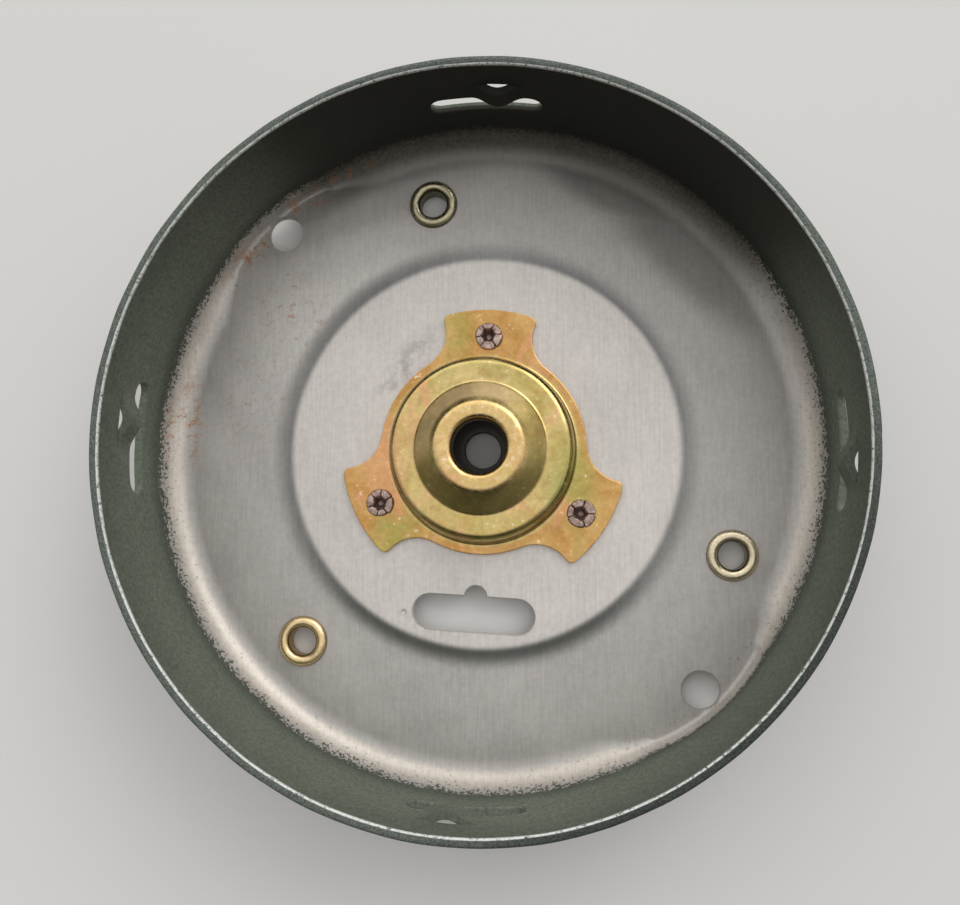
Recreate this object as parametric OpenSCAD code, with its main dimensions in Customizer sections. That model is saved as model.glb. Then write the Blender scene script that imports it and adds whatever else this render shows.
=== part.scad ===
// Sheet-metal flywheel pan of a small engine: a deep-drawn steel cup with a
// riveted stepped hub, three brass eyelets and four lanced windows in its wall.
// Millimetres. +Z runs along the shaft axis towards the open rim. The origin
// is on the shaft axis at the underside of the raised centre disc.

/* [Pan] */
// Outside diameter of the pan
pan_d = 152; // [140:1:190]
// Height from the underside of the floor to the cut rim
pan_h = 34.2; // [30:0.1:50]
// Thickness of the pan's sheet
pan_t = 1.8; // [1.2:0.1:2.2]
// Inside radius of the corner between floor and wall
corner_r = 6; // [4:0.5:8]

/* [Centre disc] */
// Diameter of the flat part of the raised disc
disc_d = 86.4; // [84:0.2:90]
// Width of the sloping ring round the disc
step_w = 6.6; // [4:0.1:8]
// Radius of the rounded crest where the disc turns down into that ring
crest_r = 5; // [3:0.5:5]
// Height of the disc above the floor
disc_rise = 1.3; // [0.8:0.1:1.6]
// Diameter of the shaft hole in the disc
shaft_d = 8.1; // [6:0.1:10]

/* [Slot in the disc] */
// Overall length of the slot
slot_l = 27.3; // [20:0.1:33]
// Width of the slot
slot_w = 7.8; // [5:0.1:8.5]
// Distance of the slot's centre line from the shaft axis
slot_off = 36.6; // [36.4:0.1:37.4]
// Sideways place of the slot's middle
slot_side = -2.2; // [-5:0.1:5]
// Slant of the slot in degrees
slot_slant = -3.4; // [-10:0.1:10]
// Diameter of the round notch in the slot's inner edge
notch_d = 4.8; // [3:0.1:6]
// Diameter of the punch mark beside the slot
mark_d = 1.3; // [0.8:0.1:2]
// Depth of the punch mark
mark_depth = 0.6; // [0.3:0.1:1]

/* [Wall windows] */
// Bearing of the first window, in degrees from the X axis
window_turn = 88.4; // [60:0.1:100]
// Length of a window slot along the wall
window_l = 24.5; // [20:0.1:28]
// Height of a window slot
window_h = 5.1; // [4:0.1:6]
// Height of a window slot's lower edge above the inside of the floor
window_z = 13.9; // [13:0.1:15]
// Length of the bridge pressed inwards above a slot
bridge_l = 12; // [10:0.1:14]
// Height of the bridge
bridge_h = 5.5; // [4:0.1:6]
// How far the middle of the bridge stands in from the wall
bridge_in = 2.3; // [1:0.1:3]
// Clockwise offset of the bridge from the middle of its slot, along the wall
bridge_off = 3; // [0:0.1:4]
// Gap of the sheared slit above the bridge
slit_w = 0.35; // [0.2:0.05:0.6]

/* [Holes beside the wall] */
// Diameter of the two plain holes
side_d = 8.2; // [6:0.1:9]
// Clearance between a plain hole and the wall foot beside it
side_gap = 0.6; // [0.4:0.1:2]
// Bearing of the first plain hole
side_turn = 132; // [126:0.5:138]
// Length along the wall of the pressed flat round a plain hole
pad_l = 31; // [20:1:40]
// How far the wall foot is pushed out beside a plain hole
pad_out = 1.2; // [0.5:0.1:1.5]
// Height over which the pushed-out wall leans back
pad_h = 11; // [8:0.5:12]

/* [Hub] */
// Thickness of the hub's sheet
hub_t = 1.2; // [0.8:0.1:1.6]
// Diameter of the hub's bore
bore_d = 11.8; // [9:0.1:14]
// Straight length of the turned-in bore lip
lip_l = 2.5; // [1.5:0.1:4]
// Diameter to the start of the crown's outer rounding
crown_d = 17.2; // [16:0.1:20]
// Height of the crown above the centre disc
crown_h = 11.1; // [10:0.1:14]
// Diameter where the middle slope meets the shoulder
shelf_d = 30.4; // [28:0.1:32]
// Height of the shoulder above the centre disc
shelf_h = 7.1; // [6:0.1:8]
// Diameter of the dome's outer wall
dome_d = 41.2; // [39:0.1:43]
// Diameter of the flange between the ears
flange_d = 46.8; // [45:0.1:48]
// Diameter over the ears
ear_d = 64.6; // [62:0.1:68]
// Angle that each ear spans at its outer edge
ear_span = 40; // [34:1:50]
// Radius of the hollow on each side of an ear
ear_hollow_r = 8.5; // [7:0.1:10]

/* [Rivets] */
// Diameter of the circle through the rivets
rivet_pcd = 52.2; // [50:0.1:55]
// Bearing of the first rivet
rivet_turn = 86.8; // [0:0.1:120]
// Diameter of a rivet's shank
rivet_d = 3.4; // [2.5:0.1:4]
// Diameter of the spread end
spread_d = 6; // [5:0.1:7]
// Height of the spread end
spread_h = 0.9; // [0.6:0.1:1.4]
// Diameter of the factory head underneath
head_d = 7; // [5.5:0.1:8]
// Height of the factory head
head_h = 1.1; // [0.8:0.1:1.2]

/* [Eyelets] */
// Diameter of the circle through the eyelets
eyelet_pcd = 119.2; // [117:0.1:121]
// Inside diameter of an eyelet
eyelet_d = 6.2; // [5:0.1:7]
// Thickness of the eyelet's brass
eyelet_t = 0.45; // [0.3:0.05:0.6]
// Width of the rolled collar inside the pan
collar_w = 2.55; // [2:0.05:3]
// Width of the rolled tail under the pan
tail_w = 1.9; // [1.6:0.05:2.4]
// Straight length of the tail before it rolls
tail_l = 0.9; // [0.4:0.1:1.4]

/* [Hidden] */
$fn = 96;

windows = 4;
rivets = 3;
petals = 6;
petal_gap = 0.35;
// The eyelets are not evenly spaced, so the pan fits in one position only.
eyelet_turns = [101.4, -23.2, -133.8];
mark_place = [-17.9, -36.2];
notch_side = 0.3;
cut = 1;

pan_r = pan_d / 2;
wall_in = pan_r - pan_t;
disc_top = pan_t;
floor_low = -disc_rise;
floor_top = floor_low + pan_t;
rim_z = floor_low + pan_h;

// Two arcs joined at a common tangent, a crest and a wider hollow, make the
// step round the disc.
hollow_r = (step_w * step_w + disc_rise * disc_rise) / (2 * disc_rise) - crest_r;
step_sweep = 2 * atan(disc_rise / step_w);

side_r = wall_in + pad_out - side_gap - side_d / 2;
pad_half = asin(pad_l / 2 / wall_in);
pad_from = wall_in - corner_r - 2;
pad_corner_r = 1.2;
pad_foot = 0.75 * corner_r;
// A pad's outside reaches this many degrees past the end of its swell, and its
// inside stops this many degrees short of it.
pad_edge = 0.4;
// Distance from the shaft axis to the axis about which a pad's swell turns.
pad_c = (pow(pan_r + pad_out, 2) - pan_r * pan_r) / (2 * (pan_r + pad_out - pan_r * cos(pad_half)));

slot_top_z = floor_top + window_z + window_h;

shelf_r = 2.2;
foot_r = 1;
lip_r = 1.5;
crown_r = 2.4;
slope_r = 1.2;
hub_base = disc_top + hub_t;
crown_z = disc_top + crown_h;
shelf_z = disc_top + shelf_h;

// Points of an arc about c with radius r, from angle a to angle b.
function arc(c, r, a, b, n = 12) = [for (i = [0:n]) c + r * [cos(a + (b - a) * i / n), sin(a + (b - a) * i / n)]];

function flip(points) = [for (i = [len(points) - 1:-1:0]) points[i]];

// Everything that repeats about the shaft axis stands at a bearing and a radius.
module at(bearing, radius = 0) {
    rotate([0, 0, bearing]) translate([radius, 0, 0]) children();
}

// ---------------------------------------------------------------- pan

// One face of the pan from the axis to the corner, pushed down by the depth d.
function pan_face(d) = concat(
    [[0, disc_top - d]],
    arc([disc_d / 2, disc_top - crest_r], crest_r - d, 90, 90 - step_sweep),
    arc([disc_d / 2 + step_w, floor_top + hollow_r], hollow_r + d, 270 - step_sweep, 270),
    arc([wall_in - corner_r, floor_top + corner_r], corner_r + d, 270, 360, 16)
);

// The solid inside one face of the pan, filled up to the height top.
module cup(d, top) {
    rotate_extrude() polygon(concat(pan_face(d), [[wall_in + d, top], [0, top]]));
}

// The solid inside one face of a pressed flat. It turns about its own axis, so
// that its outside swells out of the wall and runs back into it at both ends.
module pad_swell(d, top) {
    reach = wall_in + pad_out - pad_c;
    corner_c = [reach - pad_corner_r, floor_top + pad_corner_r];
    translate([pad_c, 0, 0]) rotate_extrude() polygon(concat(
        [[0, floor_top - d]],
        arc(corner_c, pad_corner_r + d, 270, 360, 8),
        [[reach + d, floor_top + pad_foot], [reach + d - pad_out, floor_top + pad_h]],
        [[reach + d - pad_out, top], [0, top]]
    ));
}

module pad(d, top, half) {
    far = pan_r + 2 * pad_out;
    intersection() {
        pad_swell(d, top);
        translate([0, 0, floor_low - cut]) linear_extrude(top - floor_low + 2 * cut) difference() {
            polygon([[0, 0], far * [cos(half), -sin(half)], [2 * far, 0], far * [cos(half), sin(half)]]);
            circle(r = pad_from);
        }
    }
}

module pads(d, top, half) {
    for (turn = [0, 180]) at(side_turn + turn) pad(d, top, half);
}

// A slot with round ends, lying along X about its centre.
module stadium(length, width) {
    square([length - width, width], center = true);
    for (side = [-1, 1]) translate([side * (length - width) / 2, 0]) circle(d = width);
}

module window_cut() {
    translate([wall_in - cut - bridge_in, 0, floor_top + window_z + window_h / 2])
        rotate([90, 0, 90]) linear_extrude(pan_t + bridge_in + 2 * cut) stadium(window_l, window_h);
    translate([wall_in - cut, -bridge_off - bridge_l / 2, slot_top_z - window_h / 2])
        cube([pan_t + 2 * cut, bridge_l, window_h / 2 + bridge_h]);
}

// How far the bridge stands in at the distance u from its middle.
function bridge_bow(u) = bridge_in * (1 + cos(360 * u / bridge_l)) / 2;

// Points of one face of the bridge, on the wall surface of radius r.
function bridge_face(r, n = 20) = [
    for (i = [0:n]) let (u = bridge_l * (i / n - 0.5), y = u - bridge_off)
        [sqrt(r * r - y * y) - bridge_bow(u), y]
];

module window_bridge() {
    translate([0, 0, slot_top_z]) linear_extrude(bridge_h - slit_w)
        polygon(concat(bridge_face(pan_r), flip(bridge_face(wall_in))));
}

module disc_slot() {
    translate([slot_side, -slot_off, -cut]) rotate([0, 0, slot_slant]) {
        linear_extrude(pan_t + 2 * cut) stadium(slot_l, slot_w);
        translate([notch_side, slot_w / 2, 0]) cylinder(d = notch_d, h = pan_t + 2 * cut);
    }
}

module pan() {
    color([0.46, 0.45, 0.44]) {
        difference() {
            union() {
                cup(pan_t, rim_z);
                pads(pan_t, floor_top + pad_h, pad_half + pad_edge);
            }
            union() {
                cup(0, rim_z + cut);
                pads(0, floor_top + pad_h + cut, pad_half - pad_edge);
            }
            for (i = [0:windows - 1]) at(window_turn + i * 360 / windows) window_cut();
            translate([0, 0, -cut]) cylinder(d = shaft_d, h = pan_t + 2 * cut);
            disc_slot();
            translate([mark_place.x, mark_place.y, disc_top - mark_depth]) cylinder(d = mark_d, h = cut);
            for (turn = [0, 180]) at(side_turn + turn, side_r) translate([0, 0, floor_low - cut])
                cylinder(d = side_d, h = pan_t + 2 * cut);
            for (i = [0:rivets - 1]) at(rivet_turn - i * 360 / rivets, rivet_pcd / 2)
                translate([0, 0, -cut]) cylinder(d = rivet_d, h = pan_t + 2 * cut);
            for (turn = eyelet_turns) at(turn, eyelet_pcd / 2) translate([0, 0, floor_low - cut])
                cylinder(d = eyelet_d + 2 * eyelet_t, h = pan_t + 2 * cut);
        }
        for (i = [0:windows - 1]) at(window_turn + i * 360 / windows) window_bridge();
    }
}

// ---------------------------------------------------------------- hub

// The middle slope is the common tangent of the crown's and the shelf's arcs.
crown_c = [crown_d / 2, crown_z - crown_r];
slope_c = [shelf_d / 2, shelf_z + slope_r];
slope_way = slope_c - crown_c;
slope_turn = atan2(slope_way.y, slope_way.x) + acos((crown_r + slope_r) / norm(slope_way));

// One face of the dome from the bore to the flange, sunk by the depth d.
function dome_face(d) = concat(
    [[bore_d / 2 + d, crown_z - lip_r - lip_l]],
    arc([bore_d / 2 + lip_r, crown_z - lip_r], lip_r - d, 180, 90, 8),
    arc(crown_c, crown_r - d, 90, slope_turn, 8),
    arc(slope_c, slope_r + d, 180 + slope_turn, 270, 8),
    arc([dome_d / 2 - shelf_r, shelf_z - shelf_r], shelf_r - d, 90, 0, 10),
    arc([dome_d / 2 + foot_r, hub_base + foot_r], foot_r + d, 180, 270, 8)
);

module dome() {
    edge = dome_d / 4 + flange_d / 4 + foot_r / 2;
    rotate_extrude() polygon(concat(dome_face(0), [[edge, hub_base], [edge, disc_top]], flip(dome_face(hub_t))));
}

// A round hollow touches the flange's edge and passes through the ear's corner.
hollow_c = flange_d / 2 + ear_hollow_r;
hollow_cos = (hollow_c * hollow_c + ear_d * ear_d / 4 - ear_hollow_r * ear_hollow_r) / (hollow_c * ear_d);
hollow_turn = ear_span / 2 + acos(hollow_cos);
hollow_way = ear_d / 2 * [cos(ear_span / 2), sin(ear_span / 2)] - hollow_c * [cos(hollow_turn), sin(hollow_turn)];
hollow_end = atan2(hollow_way.y, hollow_way.x);

// Points of one ear and the stretch of round flange after it, at the bearing b.
function ear_edge(b) = concat(
    arc(hollow_c * [cos(b - hollow_turn), sin(b - hollow_turn)], ear_hollow_r, b + 180 - hollow_turn, b - hollow_end),
    arc([0, 0], ear_d / 2, b - ear_span / 2, b + ear_span / 2),
    arc(hollow_c * [cos(b + hollow_turn), sin(b + hollow_turn)], ear_hollow_r, b + hollow_end, b + hollow_turn - 180),
    arc([0, 0], flange_d / 2, b + hollow_turn + 1, b + 360 / rivets - hollow_turn - 1, 16)
);

module flange() {
    translate([0, 0, disc_top]) linear_extrude(hub_t) difference() {
        polygon([for (i = [0:rivets - 1]) each ear_edge(rivet_turn + i * 360 / rivets)]);
        circle(d = dome_d / 2 + flange_d / 2 + foot_r);
    }
}

module hub_flange() {
    color([0.74, 0.58, 0.26]) difference() {
        union() {
            dome();
            flange();
        }
        for (i = [0:rivets - 1]) at(rivet_turn - i * 360 / rivets, rivet_pcd / 2)
            translate([0, 0, disc_top - cut]) cylinder(d = rivet_d, h = hub_t + 2 * cut);
    }
}

// ---------------------------------------------------------------- rivets

module rivet_profile() {
    hollow_d = 0.5 * rivet_d;
    base = hub_base;
    polygon(concat(
        [[0, -head_h], [head_d / 2 - head_h * 0.7, -head_h]],
        arc([head_d / 2 - head_h * 0.7, -head_h * 0.3], head_h * 0.7, 270, 360, 6),
        [[head_d / 2, 0], [rivet_d / 2, 0], [rivet_d / 2, base]],
        arc([spread_d / 2 - spread_h / 2, base + spread_h / 2], spread_h / 2, 270, 450, 10),
        arc([hollow_d / 2 + spread_h * 0.6, base + spread_h * 0.4], spread_h * 0.6, 90, 180, 6),
        [[hollow_d / 2, base - 1.4], [0, base - 1.8]]
    ));
}

module rivet(i) {
    color([0.42, 0.31, 0.26]) at(rivet_turn - i * 360 / rivets, rivet_pcd / 2) difference() {
        rotate_extrude() rivet_profile();
        for (p = [0:petals - 1]) rotate([0, 0, (p + 0.5) * 360 / petals])
            translate([rivet_d / 2, -petal_gap / 2, hub_base + 0.2]) cube([spread_d, petal_gap, spread_h]);
    }
}

// ---------------------------------------------------------------- eyelets

module eyelet_profile() {
    r = eyelet_d / 2;
    top_r = collar_w / 2;
    tail_r = tail_w / 2;
    top_c = [r + top_r, floor_top];
    tail_c = [r + tail_r, floor_low - tail_l];
    polygon(concat(
        arc(top_c, top_r, 180, 0, 16),
        arc(top_c, top_r - eyelet_t, 0, 180, 16),
        arc(tail_c, tail_r - eyelet_t, 180, 360, 12),
        [[r + tail_w - eyelet_t, floor_low], [r + tail_w, floor_low]],
        arc(tail_c, tail_r, 360, 180, 12)
    ));
}

module eyelet(i) {
    color([0.66, 0.52, 0.28]) at(eyelet_turns[i], eyelet_pcd / 2) rotate_extrude() eyelet_profile();
}

pan();
hub_flange();
rivet(0);  // rivet_1
rivet(1);  // rivet_2
rivet(2);  // rivet_3
eyelet(0);  // eyelet_1
eyelet(1);  // eyelet_2
eyelet(2);  // eyelet_3
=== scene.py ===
"""Looks of the flywheel pan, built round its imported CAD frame.

Lengths are millimetres until mesh() scales them. Bearings are degrees from +X.
"""

import math

import bpy
import numpy as np
from mathutils import Matrix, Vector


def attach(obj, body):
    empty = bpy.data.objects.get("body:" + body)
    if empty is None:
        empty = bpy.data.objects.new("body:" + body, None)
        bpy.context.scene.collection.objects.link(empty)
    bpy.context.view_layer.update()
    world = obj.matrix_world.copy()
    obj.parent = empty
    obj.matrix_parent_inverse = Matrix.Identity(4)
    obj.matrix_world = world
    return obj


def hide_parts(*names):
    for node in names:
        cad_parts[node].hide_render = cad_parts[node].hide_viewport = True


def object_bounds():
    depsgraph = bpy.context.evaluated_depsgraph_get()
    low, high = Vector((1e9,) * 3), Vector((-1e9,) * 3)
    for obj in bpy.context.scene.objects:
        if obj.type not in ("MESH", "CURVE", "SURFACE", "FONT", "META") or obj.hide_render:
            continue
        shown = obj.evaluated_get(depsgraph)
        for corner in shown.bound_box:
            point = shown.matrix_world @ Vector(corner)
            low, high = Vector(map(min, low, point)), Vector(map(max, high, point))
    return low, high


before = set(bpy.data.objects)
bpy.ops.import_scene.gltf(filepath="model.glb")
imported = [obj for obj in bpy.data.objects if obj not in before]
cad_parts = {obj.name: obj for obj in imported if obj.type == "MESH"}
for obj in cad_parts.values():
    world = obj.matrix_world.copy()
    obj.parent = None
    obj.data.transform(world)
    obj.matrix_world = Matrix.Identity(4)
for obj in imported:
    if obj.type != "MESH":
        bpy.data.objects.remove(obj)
cad_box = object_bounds()

MM = 0.001
TAU = 2 * math.pi

# ------------------------------------------------------------------ sizes

# The sheet, and the heights of its inside.
SHEET = 1.8
DISC_TOP, FLOOR_TOP, RIM_Z = 1.8, 0.5, 32.9
PAN_R, WALL_IN = 76.0, 74.2
MID_R = PAN_R - SHEET / 2

# The raised disc and the step down to the floor, which is two tangent arcs.
DISC_R, STEP_W, STEP_H, CREST_R = 43.2, 6.6, 1.3, 5.0
SHAFT_R, LIP = 4.05, 0.3
SLOT_AT, SLOT_TURN, SLOT_L, SLOT_W = (-2.2, -36.6), -3.4, 27.3, 7.8
PUNCH_AT, PUNCH_R = (-17.9, -36.2), 1.05

# The corner of floor and wall, and the two pressed flats with their plain holes.
CORNER_R, PAD_CORNER_R, PAD_TOP = 6.0, 1.2, 11.0
PAD_HALF, PAD_C, PAD_REACH = 12.06, 32.1, 43.3
SIDE_TURN, SIDE_R, SIDE_HOLE = 132.0, 70.7, 4.1

# The four wall slots, the bridges above them and the sheared slits.
WINDOW_TURN, WINDOW_L, WINDOW_H, WINDOW_Z = 88.4, 24.5, 5.1, 16.95
BRIDGE_L, BRIDGE_IN, BRIDGE_OFF = 12.0, 2.3, 3.0
SLIT_LOW, SLIT_HIGH = 24.65, 25.0

# Rivets and eyelets.
RIVET_TURNS = [86.8 - 120 * i for i in range(3)]
RIVET_AT, RIVET_HOLE = 26.1, 1.7
EYELET_TURNS = [101.4, -23.2, -133.8]
EYELET_AT, EYELET_HOLE = 59.6, 3.55

# The hub: top of its flange, sheet, and bore.
HUB_BASE, HUB_T, HUB_BORE = 3.0, 1.2, 5.9

# The side where the pan's inside carries painted shade, as a direction (x, y) from the axis.
SHADE_SIDE = (0.208, 0.978)


# ------------------------------------------------------------------ mesh tools


def smooth(a, b, x):
    t = np.clip((np.asarray(x, float) - a) / (b - a), 0, 1)
    return t * t * (3 - 2 * t)


def arc(cx, cy, r, a, b, n):
    """Points of an arc about (cx, cy), angles in degrees."""
    t = np.radians(np.linspace(a, b, n + 1))
    return np.stack([cx + r * np.cos(t), cy + r * np.sin(t)], 1)


def polar(bearing, radius):
    return radius * math.cos(math.radians(bearing)), radius * math.sin(math.radians(bearing))


def turned_by(line, degrees):
    """A row of points turned about the origin."""
    c, s = math.cos(math.radians(degrees)), math.sin(math.radians(degrees))
    return line @ np.array([[c, s], [-s, c]])


def waves(x, y, seed, count=9, low=0.02, high=0.12):
    """A smooth seeded unevenness, about -1 to 1, of two coordinates in mm."""
    rng = np.random.default_rng(seed)
    total = np.zeros_like(np.asarray(x, float))
    for _ in range(count):
        k, way, phase = rng.uniform(low, high), rng.uniform(0, TAU), rng.uniform(0, TAU)
        total = total + np.sin(k * TAU * (x * np.cos(way) + y * np.sin(way)) + phase)
    return total / math.sqrt(count) / 1.4


def mesh(name, points, faces):
    me = bpy.data.meshes.new(name)
    me.from_pydata((np.asarray(points, float) * MM).tolist(), [], faces)
    me.validate()
    ob = bpy.data.objects.new(name, me)
    bpy.context.scene.collection.objects.link(ob)
    return ob


def grid(points, flip=False):
    """Quads over points[i, j], closed in both ways."""
    n, m = points.shape[:2]
    faces = []
    for i in range(n):
        a, b = i * m, ((i + 1) % n) * m
        for j in range(m):
            k = (j + 1) % m
            quad = (a + j, b + j, b + k, a + k)
            faces.append(quad[::-1] if flip else quad)
    return points.reshape(-1, 3), faces


def turned(name, profile, n, warp):
    """A closed profile of (r, z), turned about Z. warp(angle, r, z) moves its points."""
    ang = np.arange(n) * TAU / n
    a, r = np.meshgrid(ang, profile[:, 0], indexing="ij")
    z = np.broadcast_to(profile[:, 1], r.shape)
    a, r, z = warp(a, r, z)
    pts = np.stack([r * np.cos(a), r * np.sin(a), z], -1)
    return mesh(name, *grid(pts, flip=True))


def moved(ob, bearing, radius):
    """Moves a mesh from the axis to its own place."""
    x, y = polar(bearing, radius)
    for v in ob.data.vertices:
        v.co.x += x * MM
        v.co.y += y * MM
    return ob


def prism(levels):
    """A closed solid from outlines of equal length, stacked bottom to top."""
    rings = np.array(levels, float)
    count, n = rings.shape[:2]
    faces = [tuple(range(n))[::-1], tuple((count - 1) * n + k for k in range(n))]
    for i in range(count - 1):
        for k in range(n):
            q = (k + 1) % n
            faces.append((i * n + k, i * n + q, (i + 1) * n + q, (i + 1) * n + k))
    return rings.reshape(-1, 3), faces


def joined(name, parts):
    """One mesh from several (points, faces)."""
    points, faces, base = [], [], 0
    for p, f in parts:
        points.append(p)
        faces += [tuple(base + k for k in face) for face in f]
        base += len(p)
    return mesh(name, np.concatenate(points), faces)


def settle(ob, angle=38):
    """Bakes the modifiers in, and shades smooth except over sharp edges."""
    for poly in ob.data.polygons:
        poly.use_smooth = True
    dg = bpy.context.evaluated_depsgraph_get()
    me = bpy.data.meshes.new_from_object(ob.evaluated_get(dg))
    ob.modifiers.clear()
    ob.data = me
    me.name = ob.name
    me.set_sharp_from_angle(angle=math.radians(angle))
    soft = ob.modifiers.new("normals", "WEIGHTED_NORMAL")
    soft.keep_sharp = True
    soft.weight = 50
    return ob


def cut(ob, parts):
    """Takes closed solids away from ob."""
    tool = joined(ob.name + "_cutter", parts)
    mod = ob.modifiers.new("cut", "BOOLEAN")
    mod.operation = "DIFFERENCE"
    mod.solver = "MANIFOLD"
    mod.object = tool
    bpy.context.view_layer.update()
    settle(ob)
    bpy.data.objects.remove(tool, do_unlink=True)
    return ob


# A cut edge is rounded over this much. Each step is (outset, height), in shares of it,
# and the first one runs on past the face.
EASE = 0.22
EASE_STEPS = ((1.35, 1.30), (1.0, 1.0), (0.62, 0.55), (0.3, 0.22), (0.1, -0.1), (0.0, -0.5))


def eased_levels(low, high, ease):
    """(place, outset) pairs for a cut from low to high, rounded at both faces."""
    ups = [(high + (a - 1) * ease + 0.02, o * ease) for o, a in EASE_STEPS]
    downs = [(low - (a - 1) * ease - 0.02, o * ease) for o, a in EASE_STEPS]
    return [(low - 1.2, 1.35 * ease)] + downs + ups[::-1] + [(high + 1.2, 1.35 * ease)]


def outset(line, by):
    """A closed counter-clockwise outline moved outwards."""
    before, after = np.roll(line, 1, 0), np.roll(line, -1, 0)
    way = after - before
    way /= np.linalg.norm(way, axis=1)[:, None]
    return line + by * np.stack([way[:, 1], -way[:, 0]], 1)


def hole(x, y, low, high, line, ease=EASE):
    """A cutter with the outline line about (x, y)."""
    levels = []
    for z, o in eased_levels(low, high, ease):
        ring = outset(line, o)
        levels.append(np.column_stack([ring[:, 0] + x, ring[:, 1] + y, np.full(len(ring), z)]))
    return prism(levels)


def circle(r, n):
    return arc(0, 0, r, 0, 360, n)[:-1]


def level(start, end, y, n):
    """Points of a level line at y, without its two ends."""
    return np.column_stack([np.linspace(start, end, n + 2)[1:-1], np.full(n, y)])


def stadium(length, width):
    """The outline of a round-ended slot."""
    half, w = (length - width) / 2, width / 2
    return np.concatenate([
        arc(half, 0, w, -90, 90, 14),
        level(half, -half, w, 12),
        arc(-half, 0, w, 90, 270, 14),
        level(-half, half, -w, 12),
    ])


# ------------------------------------------------------------------ pan

turn = np.radians(np.arange(0, 360, 0.5))


def pad_share():
    """For each bearing, the share of a pressed flat there, and how far out the wall foot is."""
    share, out = np.zeros_like(turn), np.zeros_like(turn)
    for mid in (SIDE_TURN, SIDE_TURN + 180):
        off = (np.degrees(turn) - mid + 180) % 360 - 180
        share += 0.8 * (1 - smooth(PAD_HALF - 1.0, PAD_HALF + 9.5, abs(off)))
        share += 0.2 * (1 - smooth(PAD_HALF - 0.5, PAD_HALF + 0.4, abs(off)))
        a = np.radians(off)
        across = np.maximum(PAD_REACH**2 - (PAD_C * np.sin(a)) ** 2, 0)
        reach = PAD_C * np.cos(a) + np.sqrt(across)
        out += np.where(abs(off) < PAD_HALF, np.maximum(reach - WALL_IN, 0), 0)
    return share, out


def pan_face(d):
    """Rows (r, z) of one face at every bearing, from shaft hole to rim, d below the inside."""
    share, out = pad_share()
    corner = CORNER_R + (PAD_CORNER_R - CORNER_R) * share
    rows = []

    def row(r, z):
        both = np.broadcast_to(r, turn.shape), np.broadcast_to(z, turn.shape)
        rows.append(np.stack(both, -1))

    hollow_r = (STEP_W**2 + STEP_H**2) / (2 * STEP_H) - CREST_R
    sweep = math.degrees(2 * math.atan(STEP_H / STEP_W))
    for r in np.linspace(SHAFT_R + LIP, DISC_R, 40)[:-1]:
        row(r, DISC_TOP - d)
    for r, z in arc(DISC_R, DISC_TOP - CREST_R, CREST_R - d, 90, 90 - sweep, 8)[:-1]:
        row(r, z)
    for r, z in arc(DISC_R + STEP_W, FLOOR_TOP + hollow_r, hollow_r + d, 270 - sweep, 270, 12):
        row(r, z)
    start = WALL_IN + out - corner
    first = DISC_R + STEP_W
    for k in np.linspace(0, 1, 24)[1:-1]:
        row(first + (start - first) * k, FLOOR_TOP - d)
    for a in np.radians(np.linspace(270, 360, 15)):
        row(start + (corner + d) * np.cos(a), FLOOR_TOP + corner + (corner + d) * np.sin(a))
    foot = FLOOR_TOP + corner
    top = FLOOR_TOP + PAD_TOP + 0.6
    for k in np.linspace(0, 1, 9)[1:]:
        z = foot + (top - foot) * k
        lean = 1 - smooth(FLOOR_TOP + 3.6, FLOOR_TOP + PAD_TOP + 0.4, z)
        row(WALL_IN + d + out * lean, z)
    for z in [*np.linspace(top + 0.7, 24.5, 15), 24.7, 24.95, *np.linspace(25.2, RIM_Z - 0.45, 10)]:
        row(WALL_IN + d, z)
    return np.stack(rows, 1)


def bridge_bow(a, z):
    """How far the wall stands in at bearing a and height z: the four bridges."""
    bow = np.zeros_like(z)
    for i in range(4):
        mid = math.radians(WINDOW_TURN + 90 * i) - BRIDGE_OFF / MID_R
        u = ((a - mid + math.pi) % TAU - math.pi) * MID_R
        wave = BRIDGE_IN * (1 + np.cos(TAU * u / BRIDGE_L)) / 2
        bow += np.where(abs(u) < BRIDGE_L / 2, wave, 0)
    return bow * smooth(15.2, 18.8, z) * (1 - smooth(SLIT_LOW + 0.06, SLIT_HIGH - 0.06, z))


def all_round(points):
    """(r, z) points as rows that are the same at every bearing."""
    ones = np.ones_like(turn)
    return np.stack([np.stack([ones * r, ones * z], -1) for r, z in points], 1)


def rim_line():
    """The cut rim from inside to outside, with its rounded and worn edges."""
    ease_in, ease_out = 0.35, 0.75
    return (
        [(WALL_IN + 0.3 * (1 - math.cos(t)), RIM_Z - ease_in + ease_in * math.sin(t))
         for t in np.radians([12, 30, 48, 66, 84])]
        + [(WALL_IN + 0.6, RIM_Z), (PAN_R - 0.9, RIM_Z)]
        + [(PAN_R - ease_out * (1 - math.sin(t)), RIM_Z - ease_out + ease_out * math.cos(t))
           for t in np.radians([8, 22, 36, 50, 64, 78])]
    )


def shaft_line():
    """The shaft hole's edge from below to above."""
    return (
        [(SHAFT_R + LIP - LIP * math.sin(t), LIP - LIP * math.cos(t))
         for t in np.radians([30, 60, 90])]
        + [(SHAFT_R, DISC_TOP / 2)]
        + [(SHAFT_R + LIP - LIP * math.cos(t), DISC_TOP - LIP + LIP * math.sin(t))
           for t in np.radians([0, 30, 60])]
    )


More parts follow.
